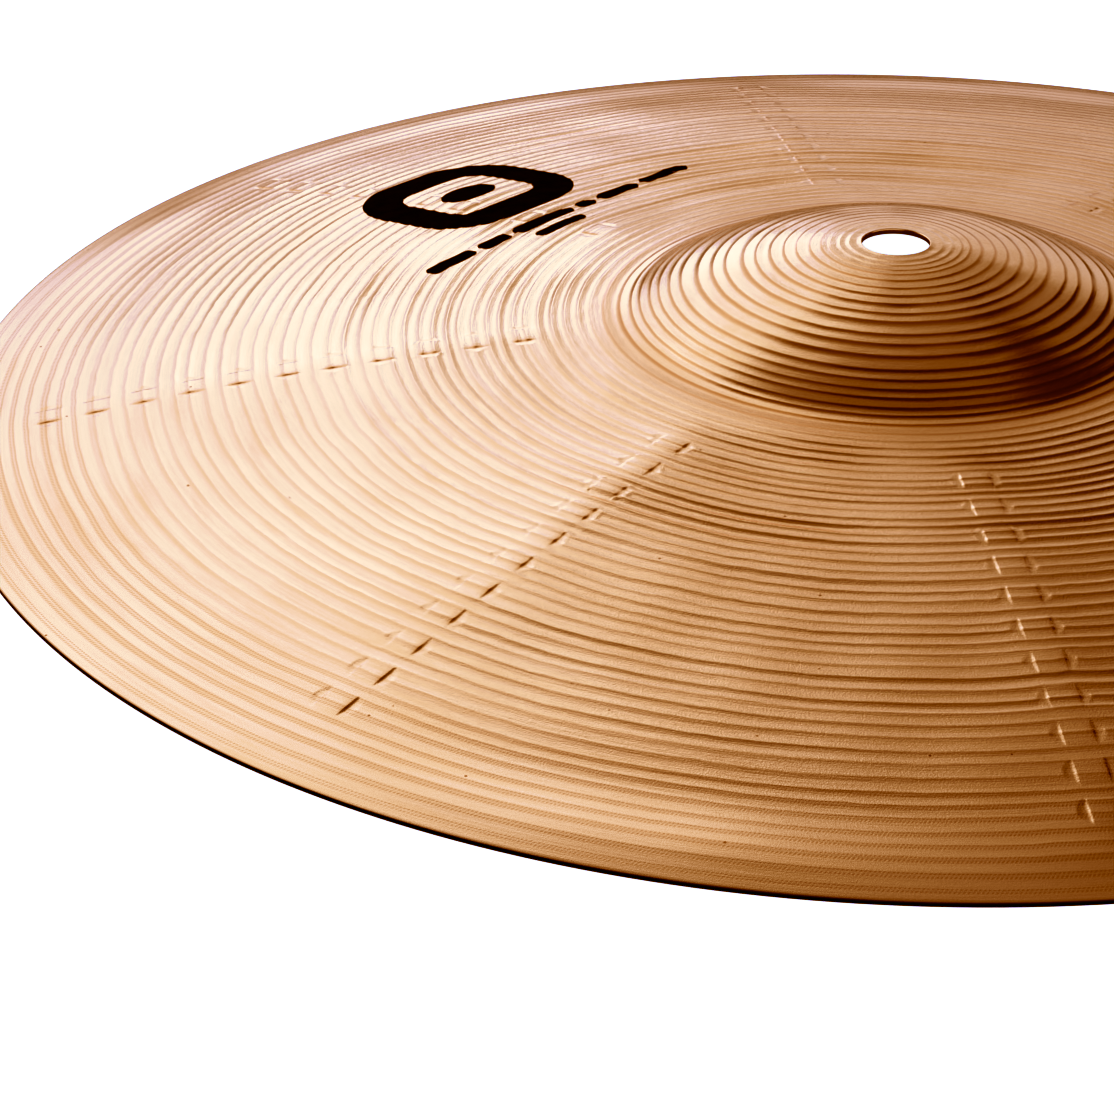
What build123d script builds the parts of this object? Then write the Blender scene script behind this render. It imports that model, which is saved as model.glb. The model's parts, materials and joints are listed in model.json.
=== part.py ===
from build123d import *
import os
from math import asin, degrees, hypot, sqrt

# A 14 inch crash cymbal: one spun bronze plate with a domed bell in the middle,
# a shallow bow around it and eight radial rows of stamped half moon dimples,
# with a printed badge and a printed caption on its upper side. Millimetres,
# +Z up. The cymbal lies bell up on its rim: the origin is the centre of the
# rim, on the surface that it rests on.

# Driving dimensions of the plate
rim_diameter = 355.6  # 14 in
rim_thickness = 0.8
body_thickness = 1.1  # at the bell and where the bow begins
rim_land_width = 0.5  # flat ring under the rim
rim_corner_radius = 0.15
bow_height = 17.5  # upper side of the bow where the bell stands on it
bell_base_radius = 50.6
bell_height = 13.5  # lip of the hole above the foot of the bell
neck_radius = 14.0  # hollow fillet between bell and bow, on the upper side
hole_diameter = 12.7
lip_radius = 0.2

# Stamped rows: each stamp is a raised strap between two half moon dimples
row_count = 8
row_start_angle = 12.8
stamps_per_row = 11
first_stamp_radius = 70.5
stamp_pitch = 8.86
strap_width = 4.7  # across the row, between the two straight walls
dimple_length = 5.5  # along the row
dimple_width = 2.1  # across the row, from the wall to the far edge
dimple_depth = 0.35

# Print on the upper side, opposite the front (-Y)
ink_thickness = 0.05
print_angle = 144.0
badge_center_radius = 110.5
badge_width = 41.0
badge_height = 38.0
badge_corner_radius = 14.0
badge_border = 8.5
badge_lens_length = 14.0
badge_lens_height = 8.0
caption_radius = 84.3
caption_bar_height = 3.4
caption_bar_widths = (13.0, 8.5, 17.0, 5.0, 11.5, 14.0)
caption_gap = 1.8
second_line_radius = 79.0
second_line_bar_height = 2.6
second_line_bar_width = 14.0
second_line_shift = -6.0
film_inner_radius = 70.0
film_outer_radius = 135.0

# Derived sizes
rim_radius = rim_diameter / 2
hole_radius = hole_diameter / 2
crown_height = bow_height + bell_height


def sphere_on_axis(start, end):
    """Height of the centre, and radius, of the ball on the axis through two points."""
    (r1, z1), (r2, z2) = start, end
    center = (r1**2 + z1**2 - r2**2 - z2**2) / (2 * (z1 - z2))
    return center, hypot(r1, z1 - center)


def middle_of_arc(start, end):
    """A point halfway out on the arc between two points of the section."""
    center, radius = sphere_on_axis(start, end)
    r = (start[0] + end[0]) / 2
    return (r, center + sqrt(radius**2 - r**2))


# Corners of the plate's section, as (radius, height)
hole_top = (hole_radius, crown_height)
hole_bottom = (hole_radius, crown_height - body_thickness)
neck_top = (bell_base_radius, bow_height)
neck_bottom = (bell_base_radius, bow_height - body_thickness)
rim_top = (rim_radius, rim_thickness)
rim_bottom = (rim_radius, 0)
land_inner = (rim_radius - rim_land_width, 0)

bow_center, bow_radius = sphere_on_axis(neck_top, rim_top)


def bow_top(r):
    """Height of the upper side of the bow at a radius."""
    return bow_center + sqrt(bow_radius**2 - r**2)


# Half of a shallow ball cap: straight wall on y = 0, round edge towards +Y.
# It stands ready to cut the dimple: its rim is at z = 0, its floor below.
half_length = dimple_length / 2
cap_rim_radius = (half_length**2 + dimple_width**2) / (2 * dimple_width)
cap_ball_radius = (cap_rim_radius**2 + dimple_depth**2) / (2 * dimple_depth)
cap_center = (0, dimple_width - cap_rim_radius, cap_ball_radius - dimple_depth)

with BuildPart() as dimple_cutter:
    with Locations(cap_center):
        Sphere(cap_ball_radius)
    split(bisect_by=Plane.XZ, keep=Keep.BOTTOM)

# The same cap one sheet thickness lower, with a flat top inside the sheet: the
# bulge that the stamp leaves on the underside.
with BuildPart() as dimple_bulge:
    with Locations(cap_center):
        Sphere(cap_ball_radius)
    split(bisect_by=Plane.XZ, keep=Keep.BOTTOM)
    split(bisect_by=Plane.XY.offset(rim_thickness / 2), keep=Keep.BOTTOM)


def stamp_places(depth):
    """Both dimples of every stamp of the row along +X, sunk below the surface."""
    places = []
    for step in range(stamps_per_row):
        r = first_stamp_radius + step * stamp_pitch
        tilt = degrees(asin(r / bow_radius))
        station = Location((r, 0, bow_top(r)), (0, tilt, 0))
        for turn in (0, 180):
            wall = Location((0, 0, -depth), (0, 0, turn)) * Location((0, strap_width / 2, 0))
            places.append(station * wall)
    return places


with BuildPart() as cymbal_plate:
    with BuildSketch(Plane.XZ) as section:
        with BuildLine():
            ThreePointArc(hole_top, middle_of_arc(hole_top, neck_top), neck_top)
            ThreePointArc(neck_top, middle_of_arc(neck_top, rim_top), rim_top)
            Polyline(rim_top, rim_bottom, land_inner)
            ThreePointArc(land_inner, middle_of_arc(land_inner, neck_bottom), neck_bottom)
            ThreePointArc(neck_bottom, middle_of_arc(neck_bottom, hole_bottom), hole_bottom)
            Line(hole_bottom, hole_top)
        make_face()
        corners = section.vertices().group_by(Axis.X)
        fillet(corners[0], lip_radius)
        corners = section.vertices().filter_by(lambda v: abs(v.X - bell_base_radius) < 0.01)
        fillet(corners.sort_by(Axis.Y)[-1], neck_radius)
        corners = section.vertices().filter_by(lambda v: abs(v.X - bell_base_radius) < 0.01)
        fillet(corners, neck_radius + body_thickness)
        fillet(section.vertices().group_by(Axis.X)[-1], rim_corner_radius)
    revolve(axis=Axis.Z)
    with PolarLocations(0, row_count, row_start_angle):
        with Locations(*stamp_places(0)):
            add(dimple_cutter.part, mode=Mode.SUBTRACT)
    with PolarLocations(0, row_count, row_start_angle):
        with Locations(*stamp_places(body_thickness)):
            add(dimple_bulge.part)
cymbal_plate.part.label = "cymbal_plate"

# A film of ink that lies on the bow: the prints are cut out of it.
ink_bottom = [(r, bow_top(r)) for r in (film_inner_radius, film_outer_radius)]
ink_top = [(r, z + ink_thickness) for r, z in ink_bottom]
with BuildPart() as ink_film:
    with BuildSketch(Plane.XZ):
        with BuildLine():
            ThreePointArc(ink_bottom[0], middle_of_arc(*ink_bottom), ink_bottom[1])
            Line(ink_bottom[1], ink_top[1])
            ThreePointArc(ink_top[1], middle_of_arc(*ink_top), ink_top[0])
            Line(ink_top[0], ink_bottom[0])
        make_face()
    revolve(axis=Axis.Z)

# The prints read from the middle of the cymbal: their upper edge faces the rim.
print_plane = Plane.XY.rotated((0, 0, print_angle - 90))

with BuildPart() as printed_badge:
    with BuildSketch(print_plane):
        with Locations((0, badge_center_radius)):
            RectangleRounded(badge_width, badge_height, badge_corner_radius)
            RectangleRounded(
                badge_width - 2 * badge_border,
                badge_height - 2 * badge_border,
                badge_corner_radius - badge_border,
                mode=Mode.SUBTRACT,
            )
            Ellipse(badge_lens_length / 2, badge_lens_height / 2)
    extrude(amount=crown_height)
    add(ink_film.part, mode=Mode.INTERSECT)
printed_badge.part.label = "printed_badge"

caption_length = sum(caption_bar_widths) + caption_gap * (len(caption_bar_widths) - 1)
with BuildPart() as printed_caption:
    with BuildSketch(print_plane):
        left = -caption_length / 2
        for width in caption_bar_widths:
            with Locations((left + width / 2, caption_radius)):
                RectangleRounded(width, caption_bar_height, 0.49 * caption_bar_height)
            left += width + caption_gap
        with Locations((second_line_shift, second_line_radius)):
            RectangleRounded(
                second_line_bar_width, second_line_bar_height, 0.49 * second_line_bar_height
            )
    extrude(amount=crown_height)
    add(ink_film.part, mode=Mode.INTERSECT)
printed_caption.part.label = "printed_caption"

os.makedirs("parts", exist_ok=True)
export_step(cymbal_plate.part, "parts/cymbal_plate.step")
export_step(printed_badge.part, "parts/printed_badge.step")
export_step(printed_caption.part, "parts/printed_caption.step")

print("bow ball radius", round(bow_radius, 1), "height", crown_height)
for name in (cymbal_plate, printed_badge, printed_caption):
    print(name.part.label, "volume mm3", round(name.part.volume, 1))
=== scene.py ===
import json
import math

import bpy
import numpy as np
from mathutils import Matrix, Quaternion, Vector
from mathutils.bvhtree import BVHTree


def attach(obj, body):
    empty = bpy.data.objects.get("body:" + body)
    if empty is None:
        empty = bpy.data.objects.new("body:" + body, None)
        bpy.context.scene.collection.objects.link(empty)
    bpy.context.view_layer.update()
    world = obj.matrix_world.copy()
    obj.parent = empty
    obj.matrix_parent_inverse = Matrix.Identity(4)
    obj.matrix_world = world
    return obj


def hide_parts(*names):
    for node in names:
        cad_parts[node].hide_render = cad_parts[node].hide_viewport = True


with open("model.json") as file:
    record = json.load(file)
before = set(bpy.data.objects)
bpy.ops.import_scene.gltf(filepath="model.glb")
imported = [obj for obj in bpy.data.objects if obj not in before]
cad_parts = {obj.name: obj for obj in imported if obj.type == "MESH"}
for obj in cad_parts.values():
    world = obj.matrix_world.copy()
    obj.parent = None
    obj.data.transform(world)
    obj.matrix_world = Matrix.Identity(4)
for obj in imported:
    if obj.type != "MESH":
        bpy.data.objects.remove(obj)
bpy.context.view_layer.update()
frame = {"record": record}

# A 14 inch crash cymbal in lathed bronze, lying bell up on a white studio
# floor. Lengths are in millimetres unless a name ends in _m; MM turns them
# into Blender's metres. The radii of the rim and the hole come from the packed
# frame.

MM = 0.001
random = np.random.default_rng(14)

record = frame["record"]
mount = {m["name"]: m for m in record["mounts"]}

# The plate, as in the CAD model
rim_radius = record["size"]["bbox_m"][0] / 2 / MM
hole_radius = mount["stand_hole"]["dims"]["r_mm"]
rim_thickness = 0.8
body_thickness = 1.1
land_width = 0.5
rim_corner = 0.15
lip_radius = 0.2
bow_height = 17.5
bell_base_radius = 50.6
crown_height = 31.0
neck_radius = 14.0

# Stamped rows
row_count = 8
row_start_angle = math.radians(12.8)
stamps_per_row = 11
first_stamp_radius = 70.5
stamp_pitch = 8.86
strap_half_width = 2.35
strap_length = 5.5
strap_rise = 0.05
dimple_width = 2.1
dimple_depth = (0.15, 0.16)  # before and after the strap, going round
wall_width = (0.5, 0.55)  # in the same order
strap_end = (-0.5, 0.2)  # where a strap fades out, measured from its end
dimple_flatness = 6  # how flat a dimple's floor is before it turns up
dimple_edge = (0.85, 1.05)  # where it stops pressing, as a share of its outline
pressed_flat = 0.9  # how much of the grooves in it a dimple flattens
# Painted shade along the side of each strap that comes after it going round, standing in for the
# shade of its steep wall
crease_shade_sharp = (0.3, 0.1, 0.25)  # darkness, distance from the strap's side, width
crease_shade_soft = (0.3, 0.0, 0.8)  # the same for the softer shade round it
crease_shade_end = (-1.8, 0)  # where a crease fades out, measured from the strap's end

# The sheet between the rows
panel_sag = 0.75  # how far the sheet sags between the rows
row_ridge_round = 2.5  # the rows are soft ridges about this wide
panel_least_radius = 20  # closer in, a ridge gets no wider in angle
panel_fade_in, panel_fade_out = (57, 72), (158, 172)
uneven_waves = ((55, 0.045), (34, 0.03), (21, 0.015))  # wave length and height
waves_per_length = 3
uneven_fade_in, uneven_fade_out = (56, 66), (166, 176)


def smooth(low, high, x):
    """0 below low, 1 above high, and a smooth step between."""
    t = np.clip((x - low) / (high - low), 0, 1)
    return t * t * (3 - 2 * t)


# ---------------------------------------------------------------- section


def sphere_on_axis(start, end):
    """Height of the centre, and radius, of the ball on the axis through two points."""
    (r1, z1), (r2, z2) = start, end
    center = (r1**2 + z1**2 - r2**2 - z2**2) / (2 * (z1 - z2))
    return center, math.hypot(r1, z1 - center)


def plate_side(hole_point, base_point, rim_point, fillet):
    """The height of one side of the plate as a function of the radius."""
    crown_z, crown = sphere_on_axis(hole_point, base_point)
    bow_z, bow = sphere_on_axis(base_point, rim_point)
    a, b = crown + fillet, bow + fillet
    z = (a**2 - b**2 + bow_z**2 - crown_z**2) / (2 * (bow_z - crown_z))
    r = math.sqrt(a**2 - (z - crown_z) ** 2)
    inner, outer = r * crown / a, r * bow / b

    def height(radius):
        radius = np.asarray(radius, float)
        on_crown = crown_z + np.sqrt(crown**2 - np.minimum(radius, inner) ** 2)
        on_neck = z - np.sqrt(fillet**2 - (np.clip(radius, inner, outer) - r) ** 2)
        on_bow = bow_z + np.sqrt(bow**2 - radius**2)
        return np.where(radius < inner, on_crown, np.where(radius < outer, on_neck, on_bow))

    return height


top_height = plate_side(
    (hole_radius, crown_height),
    (bell_base_radius, bow_height),
    (rim_radius, rim_thickness),
    neck_radius,
)
under_height = plate_side(
    (hole_radius, crown_height - body_thickness),
    (bell_base_radius, bow_height - body_thickness),
    (rim_radius - land_width, 0),
    neck_radius + body_thickness,
)

# Marks that only the colour and the fine bump show. Two numbers in brackets are the
# radii between which a mark comes in or fades.
bell_foot = (50, 60)
chatter_starts, chatter_ends = (148, 158), (175.5, 176.5)
# Dirt and painted shade in the bottoms of the grooves, more on the bell, and a band of both round
# the bell's foot
dirt_and_shade_on_bow, dirt_and_shade_more_on_bell = 0.14, 0.5
dirt_and_shade_in_groove = (1, 0.1, 0.12)  # height, middle and width across the groove
dirt_and_shade_starts, dirt_and_shade_ends = (10, 14), (168, 174)
dirt_and_shade_round_bell = (0.2, 53, 3.5)  # height, middle and width along the radius
brushed_less_at_rim, rim_polish = 0.65, (150, 168)
brushed_less_on_bell = 0.5
# Where the painted shade on the rim's face begins, along the radius
rim_shade_starts = (rim_radius - 0.17, rim_radius - 0.13)

# ---------------------------------------------------------------- grooves

# How far apart the grooves are: radius, pitch
pitch_at = (
    (8, 33, 45, 52, 60, 90, 110, 135, 152),
    (2.0, 2.75, 1.75, 2.6, 2.42, 2.68, 2.78, 2.84, 3.15),
)
pitch_spread = 0.11
pitch_limits = (0.7, 1.35)
shortest_last_groove = 1.5
corner_gap = 0.05  # between a rounded corner and the ridge next to it

# How steep the sides of the grooves are: radius, slope
slope_at = (
    (8, 20, 30, 42, 52, 55, 58, 62, 90, 110, 130, 150, 165, 173, 177),
    (0.1, 0.15, 0.18, 0.18, 0.18, 0.1, 0.2, 0.28, 0.25, 0.19, 0.14, 0.08, 0.04, 0.02, 0.0),
)
# Close to the bell a groove is a short drop and a long rise, and further out it
# is an even hollow between two ridges: radius, turn and ease
turn_at = ((60, 100), (0.3, 0.5), (0.2, 0.42))
turn_spread = 0.07
ease_limits = (0.6, 1.3)
depth_spread = 0.16
depth_limits = (0.6, 1.4)
shape_samples = 41

# How far the ridges wander from true circles: radius, distance
wander_at = ((50, 80, 110, 165, 172), (0.02, 0.05, 0.13, 0.1, 0.02))
coarse_wander = (61, 1.0)  # lumps in one turn, and their size
fine_wander = (331, 0.6)
slope_swell = (29, 0.22)
carried_over, renewed = 0.75, 0.66  # how much of its noise a ridge has from the one inside it

# Where the rings of points lie across a groove, as shares of its pitch
top_samples = (0, 0.07, 0.18, 0.31, 0.46, 0.62, 0.79, 0.93)
under_samples = (0, 0.22, 0.5, 0.78)


def groove_edges(start, end):
    """Radii of the ridges between lathe grooves: closest on the bell's flank."""
    edges = [start]
    while edges[-1] < end - shortest_last_groove:
        r = edges[-1]
        jitter = np.clip(1 + pitch_spread * random.standard_normal(), *pitch_limits)
        edges.append(r + np.interp(r, *pitch_at) * jitter)
    edges[-1] = end
    return np.array(edges)


def around(count, knots, size):
    """count smooth random rings: each row is a periodic noise of knots lumps."""
    values = random.standard_normal((count, knots)) * size
    for k in range(1, count):
        values[k] = carried_over * values[k - 1] + renewed * values[k]
    return values


def read_around(values, row, angle):
    """The value of one of those rings at each angle."""
    knots = values.shape[1]
    t = np.mod(angle / (2 * np.pi), 1) * knots
    i = np.floor(t).astype(int)
    f = t - i
    f = f * f * (3 - 2 * f)
    return values[row, i % knots] * (1 - f) + values[row, (i + 1) % knots] * f


def groove_shape(u, turn, ease):
    """Height across one groove for a slope of 1 and a pitch of 1, zero at both ridges.

    It drops until turn and rises after it, and ease is how gentle the turn is."""
    t = np.linspace(0, 1, shape_samples)
    slope = np.clip((t - turn) / ease, -1, 1)
    rise = np.concatenate(([0], np.cumsum((slope[1:] + slope[:-1]) / 2 * np.diff(t))))
    return np.interp(u, t, rise - rise[-1] * t)


class Rings:
    """The rings of the closed section, from the hole's lip outwards and back underneath."""

    def __init__(self):
        self.radius, self.height, self.edge, self.part, self.side = [], [], [], [], []

    def add(self, radius, height, side, edge=-1, part=0.0):
        self.radius.append(radius)
        self.height.append(height)
        self.side.append(side)
        self.edge.append(edge)
        self.part.append(part)

    def arrays(self):
        return [np.array(x) for x in (self.radius, self.height, self.side, self.edge, self.part)]


def corner(rings, center, radius, start, steps=3):
    """A quarter round of the section, turning clockwise from the angle start."""
    for i in range(steps + 1):
        a = math.radians(start - 90 * i / steps)
        rings.add(center[0] + radius * math.cos(a), center[1] + radius * math.sin(a), 0)


def add_grooves(rings, edges, samples, side, height):
    """The rings of one side: outwards on top, and back inwards underneath."""
    order = range(len(edges) - 1)
    for k in order if side > 0 else reversed(order):
        for u in samples if side > 0 else reversed(samples):
            r = edges[k] + (edges[k + 1] - edges[k]) * u
            rings.add(r, float(height(r)), side, k, u)


first_ridge = hole_radius + lip_radius + corner_gap
top_edges = groove_edges(first_ridge, rim_radius - rim_corner - corner_gap)
under_edges = groove_edges(first_ridge, rim_radius - land_width - corner_gap)

rings = Rings()
corner(rings, (hole_radius + lip_radius, crown_height - lip_radius), lip_radius, 180)
add_grooves(rings, top_edges, top_samples, 1, top_height)
corner(rings, (rim_radius - rim_corner, rim_thickness - rim_corner), rim_corner, 90)
corner(rings, (rim_radius - rim_corner, rim_corner), rim_corner, 0)
rings.add(rim_radius - land_width, 0, 0)
add_grooves(rings, under_edges, under_samples, -1, under_height)
corner(
    rings,
    (hole_radius + lip_radius, crown_height - body_thickness + lip_radius),
    lip_radius,
    270,
)
ring_radius, ring_height, ring_side, ring_edge, ring_part = rings.arrays()

# ---------------------------------------------------------------- polar grid

# Lines across a stamped row lie at fixed distances from its middle, so that
# every wall of a stamp has lines beside it; the lines between rows fan out.
row_lines = np.array(
    [0, 1.0, 1.9, 2.3, 2.37, 2.5, 2.64, 2.82, 3.1, 3.5, 3.9, 4.2, 4.45, 4.75, 5.4, 6.2]
)
row_lines = np.concatenate((-row_lines[:0:-1], row_lines))
fan_lines = 36
fan_starts_radius = 60.0


def line_angles(radius):
    """Angle of every line at each radius."""
    reach = np.maximum(radius, fan_starts_radius)[:, None]
    columns = []
    for n in range(row_count):
        middle = row_start_angle + 2 * np.pi * n / row_count
        following = middle + 2 * np.pi / row_count
        columns.append(middle + row_lines[None] / reach)
        t = (np.arange(fan_lines) + 1)[None] / (fan_lines + 1)
        start, end = middle + row_lines[-1] / reach, following + row_lines[0] / reach
        columns.append(start + (end - start) * t)
    return np.concatenate(columns, axis=1)


def row_place(angle):
    """Signed angle from the nearest row."""
    step = 2 * np.pi / row_count
    return np.mod(angle - row_start_angle + step / 2, step) - step / 2


def soft_peak(x, height, middle, width):
    """A smooth bump that is height at the middle and fades on both sides."""
    return height * np.exp(-(((x - middle) / width) ** 2))


def stamps(radius, across):
    """Height that the stamps add, the painted shade along their creases, and how flat they press
    grooves.
    """
    added = np.zeros_like(radius)
    crease = np.zeros_like(radius)
    pressed = np.zeros_like(radius)
    half = strap_length / 2
    cap = (half**2 + dimple_width**2) / (2 * dimple_width)
    out = np.abs(across) - strap_half_width
    after = across > 0
    depth = np.where(after, dimple_depth[1], dimple_depth[0])
    wall = smooth(0, 1, out / np.where(after, wall_width[1], wall_width[0]))
    for n in range(stamps_per_row):
        along = radius - (first_stamp_radius + n * stamp_pitch)
        near = np.abs(along) < 2 * half
        away = np.hypot(along, out - dimple_width + cap) / cap
        hollow = np.clip(1 - away**dimple_flatness, 0, None) * wall
        strap = (1 - wall) * (1 - smooth(half + strap_end[0], half + strap_end[1], np.abs(along)))
        added += near * (strap_rise * strap - depth * hollow)
        pressed = np.maximum(pressed, near * wall * (1 - smooth(*dimple_edge, away)))
        # Painted shade on one side of the strap only: a sharp dark line and a softer band round
        # it
        line = soft_peak(out, *crease_shade_sharp) + soft_peak(out, *crease_shade_soft)
        line *= after * (1 - smooth(half + crease_shade_end[0], half + crease_shade_end[1], np.abs(along)))
        crease = np.maximum(crease, near * line)
    return added, crease, pressed


def displace(radius, angle):
    """Everything that both sides of the sheet share: stamps, sag and unevenness."""
    place = row_place(angle)
    across = place * radius
    added, crease, pressed = stamps(radius, across)
    half_sector = np.pi / row_count
    ridge = row_ridge_round / (half_sector * np.maximum(radius, panel_least_radius))
    share = np.hypot(place / half_sector, ridge)
    panel = panel_sag * ((1 - share) ** 2 - 1)
    fade = smooth(*panel_fade_in, radius) * (1 - smooth(*panel_fade_out, radius))
    x, y = radius * np.cos(angle), radius * np.sin(angle)
    uneven = np.zeros_like(radius)
    for wave, size in uneven_waves:
        for _ in range(waves_per_length):
            turn, phase = random.uniform(0, 2 * np.pi, 2)
            uneven += size * np.sin(
                (x * np.cos(turn) + y * np.sin(turn)) * 2 * np.pi / wave + phase
            )
    fade_uneven = smooth(*uneven_fade_in, radius) * (1 - smooth(*uneven_fade_out, radius))
    return added + fade * panel + fade_uneven * uneven, crease, pressed


angles = line_angles(ring_radius)
line_count = angles.shape[1]


def groove_field(edges, index, part, radius, angle):
    """Radius shift and height of one side's rings, whose ridges wander a little."""
    count = len(edges)
    size = np.interp(edges, *wander_at)
    coarse, fine = around(count, *coarse_wander), around(count, *fine_wander)
    swell = around(count, *slope_swell)
    depth = np.clip(1 + depth_spread * random.standard_normal(count), *depth_limits)
    turn = np.interp(edges, turn_at[0], turn_at[1]) + turn_spread * random.standard_normal(count)
    ease = np.interp(edges, turn_at[0], turn_at[2]) * random.uniform(*ease_limits, count)

    def wander(ridge, at):
        return size[ridge] * (read_around(coarse, ridge, at) + read_around(fine, ridge, at))

    shift = np.zeros_like(angle)
    height = np.zeros_like(angle)
    for i, (k, u) in enumerate(zip(index, part)):
        low, high = wander(k, angle[i]), wander(k + 1, angle[i])
        shift[i] = low * (1 - u) + high * u
        pitch = edges[k + 1] - edges[k] + high - low
        slope = np.interp(radius[i], *slope_at) * depth[k] * (1 + read_around(swell, k, angle[i]))
        height[i] = groove_shape(u, turn[k], ease[k]) * pitch * slope
    return shift, height


radius = np.repeat(ring_radius[:, None], line_count, axis=1)
height = np.repeat(ring_height[:, None], line_count, axis=1)
cut = np.zeros_like(radius)
for side, edges, profile in ((1, top_edges, top_height), (-1, under_edges, under_height)):
    rows = np.flatnonzero(ring_side == side)
    shift, groove = groove_field(
        edges, ring_edge[rows], ring_part[rows], ring_radius[rows], angles[rows]
    )
    radius[rows] += shift
    height[rows] = profile(radius[rows])
    cut[rows] = side * groove
shared, crease, pressed = displace(radius, angles)
height += shared + cut * (1 - pressed_flat * pressed)

# Values from 0 to 1 at each point, which the bronze reads besides the painted shade along the
# creases: dirt with painted shade lies in the grooves and round the foot of the bell, chatter is
# where the tool left dashes near the rim, brushed is how strong the fine tool lines are, and the
# rim's edge value is painted shade that turns the rim's face near black.
on_top = ring_side[:, None] == 1
on_corner = ring_side[:, None] == 0
share_across = np.where(on_top, ring_part[:, None], 0.5)
on_bell = 1 - smooth(*bell_foot, radius)

double_line = np.isin(share_across, (top_samples[1], top_samples[3]))
chatter = double_line * on_top * smooth(*chatter_starts, radius)
chatter = chatter * (1 - smooth(*chatter_ends, radius))

# Dirt and painted shade: in the bottoms of the grooves on top, heavier on the bell, fading out
# near the hole and the rim, and a band round the bell's foot
dirt = on_top * (dirt_and_shade_on_bow + dirt_and_shade_more_on_bell * on_bell)
dirt = dirt * soft_peak(share_across, *dirt_and_shade_in_groove)
dirt *= smooth(*dirt_and_shade_starts, radius) * (1 - smooth(*dirt_and_shade_ends, radius))
dirt += on_top * soft_peak(radius, *dirt_and_shade_round_bell)

brushed = 1 - brushed_less_at_rim * smooth(*rim_polish, radius)
brushed *= 1 - brushed_less_on_bell * on_bell
# Painted shade on the rim's face and corners, which the colour turns near black
dark_edge = np.where(on_corner, smooth(*rim_shade_starts, radius), 0)

# ---------------------------------------------------------------- meshes


def grid_faces(rows, columns):
    """Quads of a grid that closes both ways."""
    i, j = np.meshgrid(np.arange(rows), np.arange(columns), indexing="ij")
    a = i * columns + j
    b = i * columns + (j + 1) % columns
    c = ((i + 1) % rows) * columns + (j + 1) % columns
    d = ((i + 1) % rows) * columns + j
    return np.stack((a, b, c, d), axis=-1).reshape(-1, 4)


def make_mesh(name, points, faces, values=None):
    """A smooth shaded mesh object from points in mm, with named values per point."""
    mesh = bpy.data.meshes.new(name)
    mesh.vertices.add(len(points))
    mesh.vertices.foreach_set("co", (points * MM).astype(np.float32).ravel())
    mesh.loops.add(faces.size)
    mesh.loops.foreach_set("vertex_index", faces.astype(np.int32).ravel())
    mesh.polygons.add(len(faces))
    mesh.polygons.foreach_set("loop_start", np.arange(0, faces.size, 4, dtype=np.int32))
    mesh.polygons.foreach_set("use_smooth", np.ones(len(faces), bool))
    for key, value in (values or {}).items():
        layer = mesh.attributes.new(key, "FLOAT", "POINT")
        layer.data.foreach_set("value", value.astype(np.float32).ravel())
    mesh.update(calc_edges=True)
    mesh.validate()
    piece = bpy.data.objects.new(name, mesh)
    bpy.context.scene.collection.objects.link(piece)
    return piece


points = np.stack((radius * np.cos(angles), radius * np.sin(angles), height), axis=-1)
faces = grid_faces(*radius.shape)[:, ::-1]
plate = make_mesh(
    "lathed_plate",
    points.reshape(-1, 3),
    faces,
    {
        "chatter": chatter,
        "dirt": dirt,
        "crease": crease,
        "brushed": brushed,
        "dark_edge": dark_edge,
    },
)

# ---------------------------------------------------------------- materials


def new_material(name):
    """A material with one shader, its node tree and the shader."""
    material = bpy.data.materials.new(name)
    material.use_nodes = True
    tree = material.node_tree
    tree.nodes.clear()
    output = tree.nodes.new("ShaderNodeOutputMaterial")
    shader = tree.nodes.new("ShaderNodeBsdfPrincipled")
    tree.links.new(shader.outputs["BSDF"], output.inputs["Surface"])
    return material, tree, shader


def math_node(tree, operation, *values):
    """The result of an operation on numbers and other nodes' outputs."""
    node = tree.nodes.new("ShaderNodeMath")
    node.operation = operation
    for value, socket in zip(values, node.inputs):
        if isinstance(value, (int, float)):
            socket.default_value = value
        else:
            tree.links.new(value, socket)
    return node.outputs[0]


def product(tree, a, b):
    return math_node(tree, "MULTIPLY", a, b)


def weighted_sum(tree, a, share_a, b, share_b):
    return math_node(tree, "MULTIPLY_ADD", a, share_a, product(tree, b, share_b))


def noise(tree, vector, scale, detail=2.0, rough=0.5):
    node = tree.nodes.new("ShaderNodeTexNoise")
    node.inputs["Scale"].default_value = scale
    node.inputs["Detail"].default_value = detail
    node.inputs["Roughness"].default_value = rough
    tree.links.new(vector, node.inputs["Vector"])
    return node.outputs["Fac"]


def ring_noise(tree, r, angle, turns, per_metre, detail=2.0, rough=0.5):
    """A noise that is stretched along the lathe's circles, without a seam."""
    join = tree.nodes.new("ShaderNodeCombineXYZ")
    parts = (
        product(tree, math_node(tree, "COSINE", angle), turns),
        product(tree, math_node(tree, "SINE", angle), turns),
        product(tree, r, per_metre),
    )
    for part, socket in zip(parts, join.inputs):
        tree.links.new(part, socket)
    return noise(tree, join.outputs[0], 1.0, detail, rough)


def ramp(tree, value, stops):
    """A colour that runs between two stops, each a place and a colour."""
    node = tree.nodes.new("ShaderNodeValToRGB")
    for element, (place, color) in zip(node.color_ramp.elements, stops):
        element.position = place
        element.color = (*color, 1)
    tree.links.new(value, node.inputs["Fac"])
    return node.outputs["Color"]


# The colour sockets of a Mix node, which has others of the same names
MIX_FACTOR, MIX_A, MIX_B, MIX_RESULT = 0, 6, 7, 2


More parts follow.
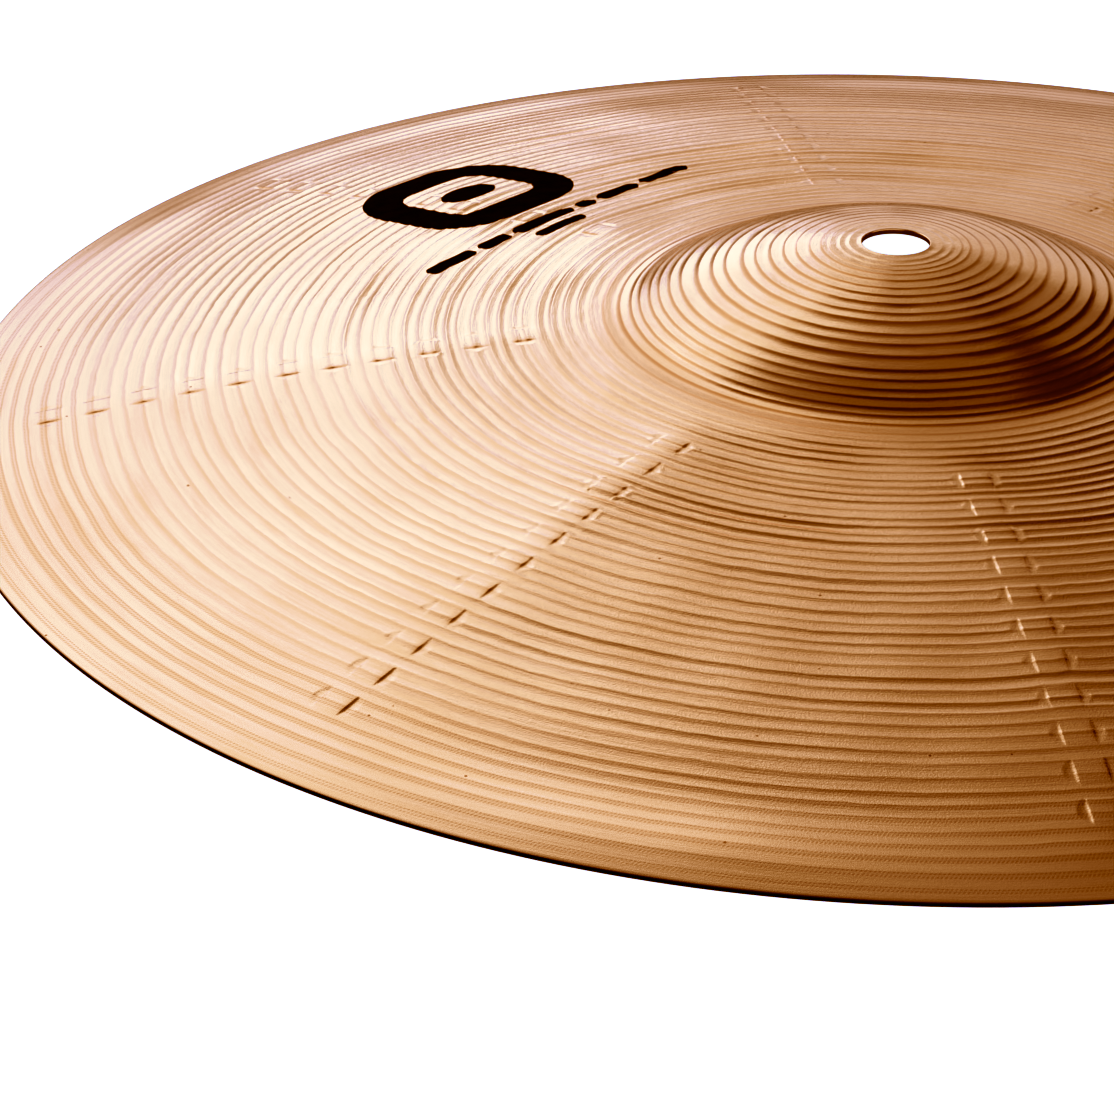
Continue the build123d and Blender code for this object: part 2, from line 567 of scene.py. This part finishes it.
def mix_color(tree, amount, base, color):
    """The base colour, turned towards another one by amount."""
    node = tree.nodes.new("ShaderNodeMix")
    node.data_type = "RGBA"
    tree.links.new(amount, node.inputs[MIX_FACTOR])
    tree.links.new(base, node.inputs[MIX_A])
    node.inputs[MIX_B].default_value = (*color, 1)
    return node.outputs[MIX_RESULT]


def attribute(tree, name):
    node = tree.nodes.new("ShaderNodeAttribute")
    node.attribute_name = name
    return node.outputs["Fac"]


def polar_coordinates(tree):
    """Position on the cymbal, and its radius and angle about the axis."""
    position = tree.nodes.new("ShaderNodeTexCoord").outputs["Object"]
    split = tree.nodes.new("ShaderNodeSeparateXYZ")
    tree.links.new(position, split.inputs[0])
    x, y = split.outputs["X"], split.outputs["Y"]
    squared = math_node(tree, "ADD", product(tree, x, x), product(tree, y, y))
    return position, math_node(tree, "SQRT", squared), math_node(tree, "ARCTAN2", y, x)


def add_bump(tree, shader, height, distance):
    bump = tree.nodes.new("ShaderNodeBump")
    bump.inputs["Strength"].default_value = 1.0
    bump.inputs["Distance"].default_value = distance * MM
    tree.links.new(height, bump.inputs["Height"])
    tree.links.new(bump.outputs[0], shader.inputs["Normal"])


BRONZE_LIGHT = (0.96, 0.68, 0.44)
BRONZE_DEEP = (0.87, 0.60, 0.37)
BRONZE_STAIN = (0.70, 0.43, 0.22)
# A dark brown for dirt, for painted shade in the creases and grooves, and for the tool's dashes;
# below it a speck colour, and a near black that paints shade on the rim's face
BRONZE_DARK_BROWN = (0.40, 0.20, 0.09)
BRONZE_SPECK = (0.16, 0.07, 0.03)
RIM_SHADE_BLACK = (0.02, 0.012, 0.01)
INK_DARK = (0.003, 0.003, 0.004)
INK_WORN = (0.008, 0.008, 0.008)

tint_streaks, tint_slow = 0.6, 0.4  # shares of the tint
stain_from, stain_to, stain_most = 0.52, 0.75, 0.18
# How far the painted crease shade darkens the colour
crease_shade_darkness = 0.65
dashes_by_angle, dashes_by_metre = 1600.0, 5200.0  # how fast the dashes' wave turns
dash_darkness = 0.5
speck_cells_per_metre = 260.0
speck_scramble = 7.31  # makes an even random value from a cell's colour
speck_share, speck_size, speck_darkness = 0.08, 0.065, 0.75
bronze_roughness, bronze_roughness_spread = 0.17, 0.1
line_relief, grain_relief, dash_relief = 2.2, 0.9, -0.4
bronze_relief = 0.03
ink_roughness, ink_roughness_spread = 0.35, 0.2
ink_relief = 0.01


def bronze_material():
    material, tree, shader = new_material("lathed_bronze")
    position, r, angle = polar_coordinates(tree)
    shader.inputs["Metallic"].default_value = 1.0
    shader.inputs["Anisotropic"].default_value = 0.4
    shader.inputs["Anisotropic Rotation"].default_value = 0.25
    tangent = tree.nodes.new("ShaderNodeTangent")
    tangent.direction_type = "RADIAL"
    tangent.axis = "Z"
    tree.links.new(tangent.outputs[0], shader.inputs["Tangent"])

    # Colour: slow tints, streaks along the grooves, stains, painted shade along the creases, and
    # dirt with painted shade in the grooves
    slow = noise(tree, position, scale=22.0, detail=3.0)
    streaks = ring_noise(tree, r, angle, turns=4.0, per_metre=900.0, detail=3.0, rough=0.6)
    tint = weighted_sum(tree, streaks, tint_streaks, slow, tint_slow)
    base = ramp(tree, tint, ((0.3, BRONZE_DEEP), (0.7, BRONZE_LIGHT)))
    smudges = ring_noise(tree, r, angle, turns=5.0, per_metre=260.0, detail=4.0, rough=0.65)
    stains = ramp(tree, smudges, ((stain_from, (0, 0, 0)), (stain_to, (stain_most,) * 3)))
    base = mix_color(tree, stains, base, BRONZE_STAIN)
    # Painted shade along the creases, and dirt with painted shade in the grooves and round the
    # bell's foot, turn the colour towards dark brown
    crease_shade_and_dirt = math_node(
        tree, "MULTIPLY_ADD", attribute(tree, "crease"), crease_shade_darkness, attribute(tree, "dirt")
    )
    base = mix_color(tree, math_node(tree, "MINIMUM", crease_shade_and_dirt, 1.0), base, BRONZE_DARK_BROWN)

    # The tool's chatter near the rim: slanting dashes
    slant = weighted_sum(tree, angle, dashes_by_angle, r, dashes_by_metre)
    dashes = math_node(tree, "MULTIPLY_ADD", math_node(tree, "SINE", slant), 0.5, 0.5)
    dashes = product(tree, dashes, attribute(tree, "chatter"))
    dashes = product(tree, dashes, dash_darkness)
    base = mix_color(tree, dashes, base, BRONZE_DARK_BROWN)

    # Small pits: a dark speck in the middle of a few cells
    cell = tree.nodes.new("ShaderNodeTexVoronoi")
    cell.inputs["Scale"].default_value = speck_cells_per_metre
    tree.links.new(position, cell.inputs["Vector"])
    drawn = math_node(tree, "FRACT", product(tree, cell.outputs["Color"], speck_scramble))
    chosen = math_node(tree, "LESS_THAN", drawn, speck_share)
    small = math_node(tree, "LESS_THAN", cell.outputs["Distance"], speck_size)
    specks = product(tree, product(tree, chosen, small), speck_darkness)
    base = mix_color(tree, specks, base, BRONZE_SPECK)

    # Painted shade: the rim's face and its corners turned near black, standing in for their dark
    # reflection
    base = mix_color(tree, attribute(tree, "dark_edge"), base, RIM_SHADE_BLACK)
    tree.links.new(base, shader.inputs["Base Color"])

    # Roughness: brushed, a little uneven
    rough = math_node(tree, "MULTIPLY_ADD", streaks, bronze_roughness_spread, bronze_roughness)
    tree.links.new(rough, shader.inputs["Roughness"])

    # Bump: fine tool lines, grain, and the tool's chatter near the rim
    lines = ring_noise(tree, r, angle, turns=5.0, per_metre=1300.0, detail=4.0, rough=0.8)
    grain = noise(tree, position, scale=3200.0, detail=1.0)
    fine = weighted_sum(tree, lines, line_relief, grain, grain_relief)
    fine = product(tree, fine, attribute(tree, "brushed"))
    relief = math_node(tree, "MULTIPLY_ADD", dashes, dash_relief, fine)
    add_bump(tree, shader, relief, bronze_relief)
    return material


def ink_material():
    material, tree, shader = new_material("printed_ink")
    position, r, angle = polar_coordinates(tree)
    worn = noise(tree, position, scale=300.0, detail=3.0)
    base = ramp(tree, worn, ((0.35, INK_DARK), (0.75, INK_WORN)))
    tree.links.new(base, shader.inputs["Base Color"])
    shader.inputs["Specular IOR Level"].default_value = 0.0
    streaks = ring_noise(tree, r, angle, turns=4.0, per_metre=900.0)
    rough = math_node(tree, "MULTIPLY_ADD", streaks, ink_roughness_spread, ink_roughness)
    tree.links.new(rough, shader.inputs["Roughness"])
    add_bump(tree, shader, noise(tree, position, scale=2500.0, detail=2.0), ink_relief)
    return material


bronze = bronze_material()
ink = ink_material()
plate.data.materials.append(bronze)
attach(plate, "root")
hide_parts("cymbal_plate")

# ---------------------------------------------------------------- print

# The print is laid out with its own x to the right and y away from the axis,
# and then turned to its place on the plate.
print_angle = math.radians(144.0)
ink_thickness = 0.07
ink_cell = 0.4  # size of the film's faces
snap_rounds = 3  # how often points near an outline are moved onto it
snap_reach = 0.62 * ink_cell
snap_step = 0.05  # over which an outline's direction is measured
least_steepness = 0.2
outline_slack = 0.02
above_plate_m = 0.1  # where the rays that find the plate start

badge_center_radius = 110.5
badge_width, badge_height, badge_corner, badge_border = 41.0, 38.0, 14.0, 8.5
lens_length, lens_height = 14.0, 8.0
caption_radius, caption_bar_height, caption_gap = 84.3, 3.4, 1.8
caption_widths = (13.0, 8.5, 17.0, 5.0, 11.5, 14.0)
bar_roundness = 0.49  # corner radius of a bar, as a share of its height
second_radius, second_height, second_width, second_shift = 79.0, 2.6, 14.0, -6.0
badge_area = ((-22, 22), (90, 131))  # x and y ranges that hold the whole mark
caption_area = ((-42, 42), (76, 88))

ray_tree = BVHTree.FromObject(plate, bpy.context.evaluated_depsgraph_get())


def rounded_box(x, y, center, width, height, corner_radius):
    """Signed distance to a rounded rectangle, negative inside."""
    qx = np.abs(x - center[0]) - width / 2 + corner_radius
    qy = np.abs(y - center[1]) - height / 2 + corner_radius
    outside = np.hypot(np.maximum(qx, 0), np.maximum(qy, 0))
    return outside + np.minimum(np.maximum(qx, qy), 0) - corner_radius


def lens(x, y, center, length, height):
    """Roughly the signed distance to an ellipse."""
    k = np.hypot((x - center[0]) / (length / 2), (y - center[1]) / (height / 2))
    return (k - 1) * np.minimum(length, height) / 2


def badge_distance(x, y):
    """Distance to the large mark: an oval ring with a lens in it."""
    center = (0, badge_center_radius)
    outer = rounded_box(x, y, center, badge_width, badge_height, badge_corner)
    inner = rounded_box(
        x,
        y,
        center,
        badge_width - 2 * badge_border,
        badge_height - 2 * badge_border,
        badge_corner - badge_border,
    )
    return np.minimum(np.maximum(outer, -inner), lens(x, y, center, lens_length, lens_height))


def caption_distance(x, y):
    """Distance to the caption: a row of bars and one shorter bar under it."""
    total = sum(caption_widths) + caption_gap * (len(caption_widths) - 1)
    left = -total / 2
    bars = [(second_shift, second_radius, second_width, second_height)]
    for width in caption_widths:
        bars.append((left + width / 2, caption_radius, width, caption_bar_height))
        left += width + caption_gap
    distances = [
        rounded_box(x, y, (cx, cy), width, tall, bar_roundness * tall)
        for cx, cy, width, tall in bars
    ]
    return np.minimum.reduce(distances)


def printed(name, distance, x_range, y_range):
    """A film of ink on the plate, cut to the outline where distance is zero."""
    xs = np.arange(x_range[0], x_range[1] + ink_cell, ink_cell)
    ys = np.arange(y_range[0], y_range[1] + ink_cell, ink_cell)
    x, y = np.meshgrid(xs, ys, indexing="ij")
    for _ in range(snap_rounds):
        d = distance(x, y)
        gx = (distance(x + snap_step, y) - distance(x - snap_step, y)) / (2 * snap_step)
        gy = (distance(x, y + snap_step) - distance(x, y - snap_step)) / (2 * snap_step)
        norm = np.maximum(gx**2 + gy**2, least_steepness)
        near = np.abs(d) < snap_reach
        x = np.where(near, x - d * gx / norm, x)
        y = np.where(near, y - d * gy / norm, y)
    keep = distance(x, y) < outline_slack
    nx, ny = x.shape
    i, j = np.meshgrid(np.arange(nx - 1), np.arange(ny - 1), indexing="ij")
    quads = np.stack(
        (i * ny + j, (i + 1) * ny + j, (i + 1) * ny + j + 1, i * ny + j + 1), axis=-1
    ).reshape(-1, 4)
    quads = quads[keep.ravel()[quads].all(axis=1)]
    used, quads = np.unique(quads, return_inverse=True)
    quads = quads.reshape(-1, 4)
    turn = print_angle - math.pi / 2
    px = (x * math.cos(turn) - y * math.sin(turn)).ravel()[used]
    py = (x * math.sin(turn) + y * math.cos(turn)).ravel()[used]
    pz = np.empty(len(used))
    for n, (a, b) in enumerate(zip(px, py)):
        hit = ray_tree.ray_cast(Vector((a * MM, b * MM, above_plate_m)), Vector((0, 0, -1)))
        pz[n] = hit[0].z / MM
    piece = make_mesh(name, np.stack((px, py, pz + ink_thickness), axis=-1), quads)
    film = piece.modifiers.new("film", "SOLIDIFY")
    film.thickness = ink_thickness * MM
    film.offset = -1
    piece.data.materials.append(ink)
    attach(piece, "root")
    return piece


badge = printed("printed_badge_film", badge_distance, *badge_area)
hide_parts("printed_badge")
caption = printed("printed_caption_film", caption_distance, *caption_area)
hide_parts("printed_caption")

# ---------------------------------------------------------------- studio

floor_half_m = 6.0
floor_below_m = 0.0002
FLOOR_WHITE = (0.8, 0.8, 0.8)
AIR_WARM = (1.0, 0.93, 0.85)
air_strength = 0.02
light_distance_m = 3.0


def studio_floor():
    """A white floor that shows to the camera but not in the bronze."""
    mesh = bpy.data.meshes.new("studio_floor")
    s = floor_half_m
    mesh.from_pydata([(-s, -s, 0), (s, -s, 0), (s, s, 0), (-s, s, 0)], [], [(0, 1, 2, 3)])
    floor = bpy.data.objects.new("studio_floor", mesh)
    floor.location = (0, 0, -floor_below_m)
    bpy.context.scene.collection.objects.link(floor)
    material, tree, shader = new_material("studio_white")
    shader.inputs["Base Color"].default_value = (*FLOOR_WHITE, 1)
    shader.inputs["Roughness"].default_value = 1.0
    shader.inputs["Specular IOR Level"].default_value = 0.0
    shader.inputs["Emission Color"].default_value = (1, 1, 1, 1)
    shader.inputs["Emission Strength"].default_value = 1.0
    mesh.materials.append(material)
    floor.visible_glossy = False


def softbox(name, azimuth, elevation, half_wide, half_tall, lean, brightness):
    """A rectangle of light facing the cymbal, placed and sized by angles in degrees.

    Azimuth 0 is +X and 90 is +Y; lean turns its top to the left, seen from the
    cymbal; brightness is the radiance of its face."""
    a, e = math.radians(azimuth), math.radians(elevation)
    outward = Vector((math.cos(a) * math.cos(e), math.sin(a) * math.cos(e), math.sin(e)))
    data = bpy.data.lights.new(name, "AREA")
    data.shape = "RECTANGLE"
    data.size = 2 * light_distance_m * math.tan(math.radians(half_wide))
    data.size_y = 2 * light_distance_m * math.tan(math.radians(half_tall))
    data.energy = math.pi * data.size * data.size_y * brightness
    lamp = bpy.data.objects.new(name, data)
    lamp.location = outward * light_distance_m
    lamp.rotation_mode = "QUATERNION"
    lamp.rotation_quaternion = outward.to_track_quat("Z", "Y") @ Quaternion(
        (0, 0, 1), math.radians(-lean)
    )
    lamp.visible_camera = False
    bpy.context.scene.collection.objects.link(lamp)


studio_floor()
# Name, azimuth, elevation, half width, half height, lean and brightness. The right
# edges of the first four are staggered, so that together they are one wide wall of
# light at the back left that fades towards the right.
softbox("wall_main", 142, 28, 41, 26, 16, 0.62)
softbox("wall_middle", 133, 32, 42, 30, 14, 0.17)
softbox("wall_right", 110, 29, 39, 27.5, -8, 0.23)
softbox("wall_left", 168, 23, 27, 22, 0, 0.3)
softbox("low_strip", 87, 13, 20, 11, 0, 0.45)
softbox("ceiling", 112, 71, 26, 13, 0, 0.16)
# A wall on the near side, which only shows in views from behind
softbox("near_wall", 300, 30, 52, 26, 0, 0.9)

# A faint warm light from all round
world = bpy.data.worlds.new("studio_air")
bpy.context.scene.world = world
world.use_nodes = True
background = world.node_tree.nodes["Background"]
background.inputs["Color"].default_value = (*AIR_WARM, 1)
background.inputs["Strength"].default_value = air_strength

scene = bpy.context.scene
scene.view_settings.view_transform = "Standard"
scene.view_settings.look = "None"


def grade(settings, curves):
    """Bend the display's channels, as a photographer grades bronze."""
    settings.use_curve_mapping = True
    mapping = settings.curve_mapping
    for channel, points in curves.items():
        curve = mapping.curves["RGB".index(channel)]
        for x, y in points:
            curve.points.new(x, y)
    mapping.update()


grade(
    scene.view_settings,
    {
        "G": ((0.072, 0.016), (0.235, 0.125), (0.491, 0.397), (0.647, 0.655), (0.7, 0.79)),
        "B": ((0.096, 0.005), (0.217, 0.076), (0.372, 0.314), (0.463, 0.61)),
    },
)

# ---------------------------------------------------------------- camera

camera_place = (0, -594.5, 274.2)
camera_pan, camera_down, camera_roll = 6.143, 27.644, -0.186  # degrees

camera_data = bpy.data.cameras.new("camera")
camera_data.sensor_width = 36.0
camera_data.lens = 109.9
camera = bpy.data.objects.new("camera", camera_data)
camera.matrix_world = (
    Matrix.Translation(Vector(camera_place) * MM)
    @ Matrix.Rotation(math.radians(camera_pan), 4, "Z")
    @ Matrix.Rotation(math.radians(90 - camera_down), 4, "X")
    @ Matrix.Rotation(math.radians(camera_roll), 4, "Z")
)
scene.collection.objects.link(camera)
scene.camera = camera
